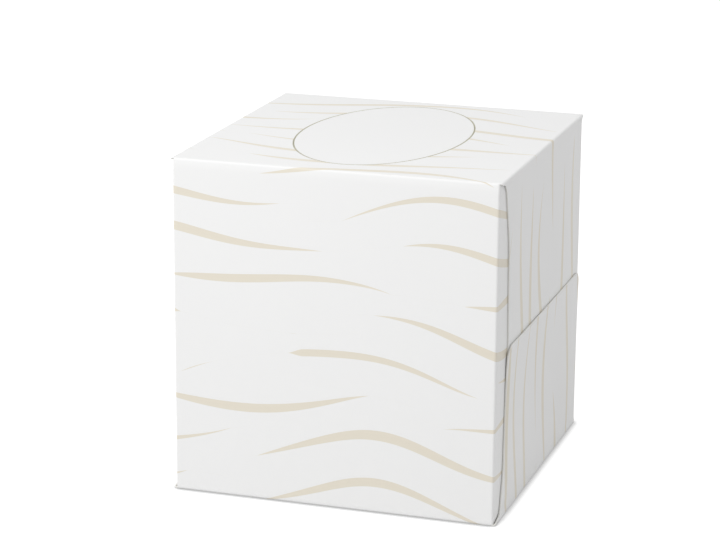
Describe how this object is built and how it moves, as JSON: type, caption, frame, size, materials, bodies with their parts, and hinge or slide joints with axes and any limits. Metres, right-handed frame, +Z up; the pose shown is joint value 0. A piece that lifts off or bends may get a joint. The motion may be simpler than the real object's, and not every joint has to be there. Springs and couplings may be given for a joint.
{
  "type": "tissue box",
  "caption": "Sealed cube tissue box of folded board, with glued end flaps and a perforated oval tear-out in the top for drawing the tissues.",
  "frame": {"origin": "middle of the base, on the surface that the box stands on", "axes": "+Z up through the tear-out, -Y towards the front panel, X between the two glued ends"},
  "size_m": [0.12, 0.12, 0.1215],
  "materials": {
    "printed_board": "white coated folding board with a soft sheen and a beige print of thin swept strokes"
  },
  "bodies": {
    "root": {"sealed_carton": "printed_board"}
  },
  "joints": []
}
